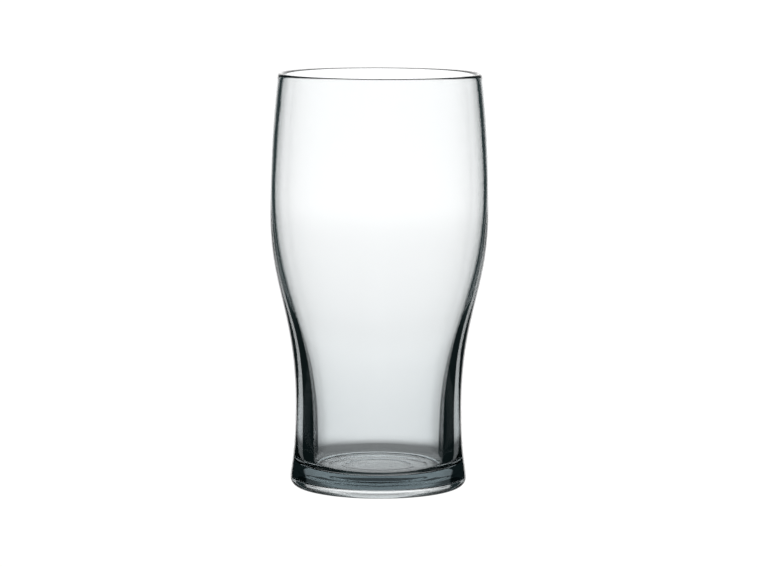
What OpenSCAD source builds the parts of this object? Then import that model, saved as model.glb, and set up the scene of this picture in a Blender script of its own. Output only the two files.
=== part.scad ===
// Tulip pint glass, pressed and blown in one piece of toughened glass.
// It has a thick base, hollowed underneath, that stands on a narrow bearing ring.
// Above it come a waist for the hand, a wide shoulder, a mouth that draws in and a rounded lip.
// Millimetres, +Z up, origin on the table under the centre of the foot.

/* [Overall] */
// Height from the table to the top of the lip
glass_h = 160; // [150:0.5:170]

/* [Outer shape] */
// Outer diameter just under the lip
rim_d = 78.6; // [74:0.2:82]
// Outer diameter at the widest part of the bowl
bowl_d = 84.2; // [82:0.2:90]
// Height of the widest part of the bowl
bowl_z = 106; // [98:0.5:114]
// Outer diameter at the waist
waist_d = 64.4; // [61:0.2:67]
// Height of the waist
waist_z = 31; // [28:0.5:38]
// Outer diameter of the foot
foot_d = 68.2; // [67:0.2:72]
// Height of the foot's widest edge above the table
heel_h = 3.4; // [2.4:0.1:4.4]

/* [Inner shape] */
// Wall thickness just under the lip
lip_t = 2.1; // [1.6:0.1:2.6]
// Wall thickness at the widest part of the bowl
bowl_t = 1.75; // [1.4:0.05:2.6]
// Diameter of the round well at the bottom of the inside
well_d = 51; // [46:0.2:53]
// Height of the inside floor above the table
floor_z = 7.3; // [6.5:0.1:10]
// Radius between the inside floor and the wall
well_fillet = 3.6; // [1:0.1:8]

/* [Underside] */
// Outer diameter of the flat ring that the glass stands on
ring_d = 61.6; // [60:0.2:63]
// Width of that ring
ring_w = 2.2; // [1.4:0.1:4]
// Depth of the hollow inside the ring, at its edge
recess_h = 3.1; // [1.5:0.1:4.5]
// Radius in the corner of that hollow
recess_fillet = 0.5; // [0.3:0.1:1.2]
// Extra depth of the hollow at its centre
crown_h = 0.3; // [0:0.1:0.8]

/* [Hidden] */

// Facets of the revolved body and straight steps in each curve
round_fn = 128;
heel_steps = 6;
foot_steps = 10;
side_steps = 24;
mouth_steps = 12;
lip_steps = 12;
fillet_steps = 8;
crown_steps = 8;

// Share of a rounded corner that each end of its curve reaches along, near that of a true arc
corner_reach = 0.56;

// How far the outer curves reach up or down from the foot, waist, bowl and lip before they bend
foot_rise = 4;
waist_drop = 18;
waist_rise = 36;
bowl_drop = 29;
bowl_rise = 15;
lip_drop = 23;
// The same for the inner curves
inner_lip_drop = 20;
inner_bowl_rise = 12;
inner_bowl_drop = 35.5;
well_rise = 42;

// Outer lip height, where the rim's rounding starts
lip_h = 1.4;
rim_z = glass_h - lip_h;
// How far the wall leans in at the lip, sideways per unit of height
mouth_lean = 0.11;
// Height at which the inside of the wall leaves the upright well
well_top_z = 20;
// Height of the widest part of the inside, and how far it lies above that of the outside
inner_bowl_up = 4.5;
inner_bowl_z = bowl_z + inner_bowl_up;

// Points of a cubic curve from a to d that leaves a towards b and arrives from c
function curve(a, b, c, d, steps) = [
    for (i = [0:steps])
        let (t = i / steps, u = 1 - t)
            u * u * u * a + 3 * u * u * t * b + 3 * u * t * t * c + t * t * t * d
];

// The same list without its first point, to follow on from another curve
function tail(points) = [for (i = [1:len(points) - 1]) points[i]];

// A rounded corner from a to d, level at a and upright at d
function corner(a, d, steps) =
    curve(a, a + [corner_reach * (d.x - a.x), 0], d + [0, corner_reach * (a.y - d.y)], d, steps);

// Lower corner of the foot, from the bearing ring up to the foot's widest edge
function heel() = corner([ring_d / 2, 0], [foot_d / 2, heel_h], heel_steps);

// Foot up to the waist
function foot_side() =
    let (edge = [foot_d / 2, heel_h], waist = [waist_d / 2, waist_z])
        curve(edge, edge + [0, foot_rise], waist - [0, waist_drop], waist, foot_steps);

// Waist up to the widest part of the bowl
function bowl_side() =
    let (waist = [waist_d / 2, waist_z], bowl = [bowl_d / 2, bowl_z])
        curve(waist, waist + [0, waist_rise], bowl - [0, bowl_drop], bowl, side_steps);

// Bowl up to the lip
function mouth_side() =
    let (bowl = [bowl_d / 2, bowl_z], rim = [rim_d / 2, rim_z])
        curve(bowl, bowl + [0, bowl_rise], rim - lip_drop * [-mouth_lean, 1], rim, mouth_steps);

// Half ellipse over the top of the wall, from the outside to the inside
function lip() = [
    for (i = [0:lip_steps])
        let (angle = 180 * i / lip_steps)
            [rim_d / 2 - lip_t / 2 * (1 - cos(angle)), rim_z + lip_h * sin(angle)]
];

// Inside wall from the lip down to the widest part of the inside
function inner_mouth() =
    let (rim = [rim_d / 2 - lip_t, rim_z], bowl = [bowl_d / 2 - bowl_t, inner_bowl_z])
        curve(rim, rim - inner_lip_drop * [-mouth_lean, 1],
              bowl + [0, inner_bowl_rise], bowl, mouth_steps);

// Inside wall from its widest part down to the well
function inner_side() =
    let (bowl = [bowl_d / 2 - bowl_t, inner_bowl_z], well = [well_d / 2, well_top_z])
        curve(bowl, bowl - [0, inner_bowl_drop], well + [0, well_rise], well, side_steps);

// Rounded corner between the well and the inside floor
function well_corner() = [
    for (i = [0:fillet_steps])
        let (angle = 90 * i / fillet_steps)
            [well_d / 2 - well_fillet * (1 - cos(angle)),
             floor_z + well_fillet * (1 - sin(angle))]
];

// Hollow under the base, from its centre out to the bearing ring
function underside() =
    let (wall = ring_d / 2 - ring_w, top = [wall - recess_fillet, recess_h],
         crown = [0, recess_h + crown_h])
        concat(
            curve(crown, crown + [top.x / 2, 0], top - [top.x / 3, 0], top, crown_steps),
            tail(corner(top, [wall, recess_h - recess_fillet], fillet_steps)),
            [[wall, 0]]
        );

// Half section of the whole glass, round from the underside to the inside floor
function section() = concat(
    underside(),
    heel(),
    tail(foot_side()),
    tail(bowl_side()),
    tail(mouth_side()),
    tail(lip()),
    tail(inner_mouth()),
    tail(inner_side()),
    well_corner(),
    [[0, floor_z]]
);

module glass() {
    color([0.86, 0.91, 0.92, 0.35])
        rotate_extrude($fn = round_fn)
            polygon(section());
}

glass();
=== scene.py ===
# A clear tulip pint glass on a white studio table. Metres, in the CAD model's frame.
import math

import bpy
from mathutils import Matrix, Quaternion, Vector


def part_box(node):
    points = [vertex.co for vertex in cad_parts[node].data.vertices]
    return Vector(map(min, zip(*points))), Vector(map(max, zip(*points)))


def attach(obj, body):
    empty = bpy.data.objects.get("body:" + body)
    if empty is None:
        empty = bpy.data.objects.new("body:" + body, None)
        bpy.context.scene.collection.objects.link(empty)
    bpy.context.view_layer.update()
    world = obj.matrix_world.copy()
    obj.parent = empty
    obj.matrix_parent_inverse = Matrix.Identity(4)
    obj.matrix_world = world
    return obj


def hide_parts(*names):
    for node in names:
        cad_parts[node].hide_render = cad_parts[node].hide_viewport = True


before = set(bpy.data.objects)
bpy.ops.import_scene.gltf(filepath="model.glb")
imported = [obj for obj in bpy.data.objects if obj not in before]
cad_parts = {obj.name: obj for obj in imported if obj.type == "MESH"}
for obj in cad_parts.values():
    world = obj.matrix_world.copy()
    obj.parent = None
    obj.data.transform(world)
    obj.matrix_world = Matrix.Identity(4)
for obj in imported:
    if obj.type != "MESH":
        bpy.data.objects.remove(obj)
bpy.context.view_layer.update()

# ---------------------------------------------------------------- sizes of the glass
cad_low, cad_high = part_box("glass")
HEIGHT = cad_high[2] - cad_low[2]
BOWL_R = (cad_high[0] - cad_low[0]) / 2
MM = HEIGHT / 160

# Outside
BOWL_Z = 106 * MM
RIM_R = 39.3 * MM
WAIST_R = 32.2 * MM
WAIST_Z = 31 * MM
FOOT_R = 34.1 * MM
HEEL_H = 3.4 * MM

# Lip and inside
LIP_T = 2.1 * MM
LIP_H = 1.4 * MM
RIM_Z = HEIGHT - LIP_H
MOUTH_LEAN = 0.11
BOWL_T = 1.75 * MM
INNER_BOWL_Z = BOWL_Z + 4.5 * MM
WELL_R = 25.5 * MM
WELL_TOP = 20 * MM
FLOOR_Z = 7.3 * MM
FILLET = 3.6 * MM

# Bearing ring and the hollow inside it
RING_R = 30.8 * MM
RING_W = 2.2 * MM
RECESS_H = 3.1 * MM
RECESS_FILLET = 0.5 * MM
CROWN_H = 0.3 * MM
# Faint raised rings that the mould leaves under the base: radius and height of each
MOULD_RINGS = ((13.2 * MM, 0.2 * MM), (20 * MM, 0.12 * MM))
MOULD_RING_W = 1.1 * MM

# How far the outer curves reach up or down from the foot, waist, bowl and lip before they bend
FOOT_RISE = 4 * MM
WAIST_DROP = 18 * MM
WAIST_RISE = 36 * MM
BOWL_DROP = 29 * MM
BOWL_RISE = 15 * MM
LIP_DROP = 23 * MM
# The same for the inner curves
INNER_LIP_DROP = 20 * MM
INNER_BOWL_RISE = 12 * MM
INNER_BOWL_DROP = 35.5 * MM
WELL_RISE = 42 * MM
WELL_EASE = 2 * MM
# Share of a rounded corner that each end of its curve reaches along, near that of a true arc
CORNER_REACH = 0.56

AROUND = 192


# ---------------------------------------------------------------- mesh helpers
def vec(r, z):
    return Vector((r, z))


def curve(a, b, c, d, steps):
    """Points of a cubic curve from a to d that leaves a towards b and arrives from c."""
    points = []
    for i in range(steps + 1):
        t = i / steps
        u = 1 - t
        points.append(u ** 3 * a + 3 * u * u * t * b + 3 * u * t * t * c + t ** 3 * d)
    return points


def corner(a, d, steps):
    """A rounded corner from a to d, level at a and upright at d."""
    return curve(a, a + vec(CORNER_REACH * (d.x - a.x), 0),
                 d + vec(0, CORNER_REACH * (a.y - d.y)), d, steps)


def underside():
    """From the centre of the hollow out to the inner edge of the bearing ring."""
    wall = RING_R - RING_W
    top = vec(wall - RECESS_FILLET, RECESS_H)
    crown = RECESS_H + CROWN_H
    points = curve(vec(0, crown), vec(top.x / 2, crown), top - vec(top.x / 3, 0), top, 72)
    for point in points:
        for radius, height in MOULD_RINGS:
            point.y -= height * math.exp(-((point.x - radius) / MOULD_RING_W) ** 2)
    points += corner(top, vec(wall, RECESS_H - RECESS_FILLET), 8)[1:]
    points.append(vec(wall, 0))
    return points


def outside():
    """From the bearing ring up the foot, waist and bowl to the lip."""
    edge = vec(FOOT_R, HEEL_H)
    waist = vec(WAIST_R, WAIST_Z)
    bowl = vec(BOWL_R, BOWL_Z)
    rim = vec(RIM_R, RIM_Z)
    points = corner(vec(RING_R, 0), edge, 16)
    points += curve(edge, edge + vec(0, FOOT_RISE), waist - vec(0, WAIST_DROP), waist, 24)[1:]
    points += curve(waist, waist + vec(0, WAIST_RISE), bowl - vec(0, BOWL_DROP), bowl, 48)[1:]
    points += curve(bowl, bowl + vec(0, BOWL_RISE), rim - LIP_DROP * vec(-MOUTH_LEAN, 1), rim,
                    28)[1:]
    return points


def lip():
    """Half ellipse over the top of the wall."""
    points = []
    for i in range(1, 25):
        angle = math.pi * i / 24
        points.append(vec(RIM_R - LIP_T / 2 * (1 - math.cos(angle)),
                          RIM_Z + LIP_H * math.sin(angle)))
    return points


def inside():
    """From the lip down the inner wall, round the well's corner and in to the floor's centre."""
    rim = vec(RIM_R - LIP_T, RIM_Z)
    bowl = vec(BOWL_R - BOWL_T, INNER_BOWL_Z)
    well = vec(WELL_R, WELL_TOP)
    low = vec(WELL_R, FLOOR_Z + FILLET)
    points = curve(rim, rim - INNER_LIP_DROP * vec(-MOUTH_LEAN, 1),
                   bowl + vec(0, INNER_BOWL_RISE), bowl, 28)[1:]
    points += curve(bowl, bowl - vec(0, INNER_BOWL_DROP), well + vec(0, WELL_RISE), well, 48)[1:]
    points += curve(well, well - vec(0, WELL_EASE), low + vec(0, WELL_EASE), low, 4)[1:]
    for i in range(1, 13):
        angle = math.pi / 2 * i / 12
        points.append(vec(WELL_R - FILLET * (1 - math.cos(angle)),
                          FLOOR_Z + FILLET * (1 - math.sin(angle))))
    flat_r = WELL_R - FILLET
    for i in range(1, 11):
        points.append(vec(flat_r * (1 - i / 10), FLOOR_Z))
    return points


def lathe(name, outline):
    """A closed surface of revolution about Z. The outline starts and ends on the axis."""
    verts = [(0, 0, outline[0].y)]
    for point in outline[1:-1]:
        for k in range(AROUND):
            angle = 2 * math.pi * k / AROUND
            verts.append((point.x * math.cos(angle), point.x * math.sin(angle), point.y))
    verts.append((0, 0, outline[-1].y))
    rows = len(outline) - 2
    top = len(verts) - 1
    faces = []
    for k in range(AROUND):
        n = (k + 1) % AROUND
        faces.append((0, 1 + n, 1 + k))
        faces.append((top, 1 + (rows - 1) * AROUND + k, 1 + (rows - 1) * AROUND + n))
        for row in range(rows - 1):
            a = 1 + row * AROUND
            b = a + AROUND
            faces.append((a + k, a + n, b + n, b + k))
    mesh = bpy.data.meshes.new(name)
    mesh.from_pydata(verts, [], faces)
    mesh.shade_smooth()
    mesh.update()
    piece = bpy.data.objects.new(name, mesh)
    bpy.context.scene.collection.objects.link(piece)
    return piece


def new_material(name):
    made = bpy.data.materials.new(name)
    made.use_nodes = True
    made.node_tree.nodes.clear()
    return made, made.node_tree.nodes, made.node_tree.links


# ---------------------------------------------------------------- the glass material
def glass_material():
    made, nodes, links = new_material("clear_glass")
    out = nodes.new("ShaderNodeOutputMaterial")
    shader = nodes.new("ShaderNodeBsdfPrincipled")
    shader.inputs["Base Color"].default_value = (1, 1, 1, 1)
    shader.inputs["Roughness"].default_value = 0
    shader.inputs["IOR"].default_value = 1.52
    shader.inputs["Transmission Weight"].default_value = 1
    links.new(shader.outputs["BSDF"], out.inputs["Surface"])
    # Slow waviness that blowing and fire-polishing leave in the surface
    place = nodes.new("ShaderNodeTexCoord")
    wave = nodes.new("ShaderNodeTexNoise")
    wave.inputs["Scale"].default_value = 70
    wave.inputs["Detail"].default_value = 1
    bump = nodes.new("ShaderNodeBump")
    bump.inputs["Strength"].default_value = 0.1
    bump.inputs["Distance"].default_value = 0.0003
    links.new(place.outputs["Object"], wave.inputs["Vector"])
    links.new(wave.outputs["Fac"], bump.inputs["Height"])
    links.new(bump.outputs["Normal"], shader.inputs["Normal"])
    tint = nodes.new("ShaderNodeVolumeAbsorption")
    tint.inputs["Color"].default_value = (0.35, 0.43, 0.456, 1)
    tint.inputs["Density"].default_value = 50
    links.new(tint.outputs["Volume"], out.inputs["Volume"])
    return made


# ---------------------------------------------------------------- the object
glass = lathe("pint_glass", underside() + outside() + lip() + inside())
glass.data.materials.append(glass_material())
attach(glass, "root")
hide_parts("glass")

# ---------------------------------------------------------------- camera
VIEW_D = 1.315
VIEW_H = 0.236
AIM_Z = 0.0787
AIM_X = -0.0002
ROLL = math.radians(0.24)
cam_data = bpy.data.cameras.new("camera")
cam_data.sensor_width = 36
cam_data.lens = 163
cam_data.clip_end = 20
camera = bpy.data.objects.new("camera", cam_data)
bpy.context.scene.collection.objects.link(camera)
camera.location = (0, -VIEW_D, VIEW_H)
look = Vector((AIM_X, 0, AIM_Z)) - camera.location
turn = look.to_track_quat("-Z", "Y") @ Quaternion((0, 0, 1), ROLL)
camera.rotation_euler = turn.to_euler()
bpy.context.scene.camera = camera


# ---------------------------------------------------------------- studio
# Strength of the white table and background
WHITE = 1.05


def emitter(name, strength):
    made, nodes, links = new_material(name)
    out = nodes.new("ShaderNodeOutputMaterial")
    glow = nodes.new("ShaderNodeEmission")
    glow.inputs["Color"].default_value = (1, 1, 1, 1)
    glow.inputs["Strength"].default_value = strength
    links.new(glow.outputs["Emission"], out.inputs["Surface"])
    return made


def staged(name, verts, faces, paint):
    mesh = bpy.data.meshes.new(name)
    mesh.from_pydata(verts, [], faces)
    mesh.materials.append(paint)
    made = bpy.data.objects.new(name, mesh)
    bpy.context.scene.collection.objects.link(made)
    return made


def floor():
    """A white table top, unseen through the glass and in its reflections."""
    half = 8
    corners = [(-half, -half, 0), (half, -half, 0), (half, half, 0), (-half, half, 0)]
    made = staged("floor", corners, [(0, 1, 2, 3)], emitter("white_table", WHITE))
    made.visible_transmission = False
    made.visible_glossy = False


def smooth(low, high, value):
    t = min(1, max(0, (value - low) / (high - low)))
    return t * t * (3 - 2 * t)


def glowing(name, verts, faces, levels):
    """A lit cloth, unseen by the camera. It turns with the camera, as on a turntable."""
    paint, nodes, links = new_material(name + "_light")
    out = nodes.new("ShaderNodeOutputMaterial")
    glow = nodes.new("ShaderNodeEmission")
    tone = nodes.new("ShaderNodeAttribute")
    tone.attribute_name = "tone"
    lightness = nodes.new("ShaderNodeMath")
    lightness.operation = "MULTIPLY"
    lightness.use_clamp = True
    lightness.inputs[1].default_value = 6
    links.new(tone.outputs["Fac"], lightness.inputs[0])
    tint = nodes.new("ShaderNodeMixRGB")
    tint.inputs["Color1"].default_value = CLOTH_TINT
    tint.inputs["Color2"].default_value = (1, 1, 1, 1)
    links.new(lightness.outputs["Value"], tint.inputs["Fac"])
    links.new(tint.outputs["Color"], glow.inputs["Color"])
    links.new(tone.outputs["Fac"], glow.inputs["Strength"])
    links.new(glow.outputs["Emission"], out.inputs["Surface"])
    centre = Vector((0, 0, HEIGHT / 2))
    undo = turn.inverted()
    made = staged(name, [undo @ (Vector(v) - centre) for v in verts], faces, paint)
    layer = made.data.attributes.new("tone", "FLOAT", "POINT")
    for value, level in zip(layer.data, levels):
        value.value = level
    made.location = centre
    made.visible_camera = False
    follow = made.constraints.new("COPY_ROTATION")
    follow.target = camera


# Colour of the dark cloth
CLOTH_TINT = (0.5, 0.95, 1, 1)
TENT_R = 0.15
TENT_LOW = -0.15
TENT_HIGH = 0.45


def light_level(az, z):
    """Brightness of the tent wall, by degrees round from straight behind the glass and by height."""
    side = abs(az)
    window = (1 - 0.35 * smooth(18, 33, side)) * (1 - smooth(33, 36, side))
    # The window is dim below the glass, full above, and a little dimmer across its lower half
    lit = smooth(-0.028, -0.016, z)
    dim = smooth(0.012, 0.030, z) * (1 - smooth(0.070, 0.095, z))
    cloth = 0.012 + 0.036 * smooth(0, 0.04, z)
    return cloth + window * (0.34 + (0.96 - 0.085 * dim) * lit)


def tent():
    """A round light tent: a bright window behind the glass and dark cloth at the sides."""
    across, down = 360, 300
    verts, levels, faces = [], [], []
    for j in range(down + 1):
        z = TENT_LOW + (TENT_HIGH - TENT_LOW) * j / down
        for i in range(across):
            az = -180 + 360 * i / across
            a = math.radians(az)
            verts.append((TENT_R * math.sin(a), TENT_R * math.cos(a), z))
            levels.append(light_level(az, z))
    for j in range(down):
        for i in range(across):
            n = (i + 1) % across
            faces.append((j * across + i, j * across + n, (j + 1) * across + n, (j + 1) * across + i))
    faces.append(tuple(range(across)))
    faces.append(tuple(range(down * across, (down + 1) * across)))
    glowing("light_tent", verts, faces, levels)


floor()
tent()

world = bpy.data.worlds.new("studio")
world.use_nodes = True
world.node_tree.nodes["Background"].inputs["Color"].default_value = (1, 1, 1, 1)
world.node_tree.nodes["Background"].inputs["Strength"].default_value = WHITE
bpy.context.scene.world = world
bpy.context.scene.view_settings.view_transform = "Standard"
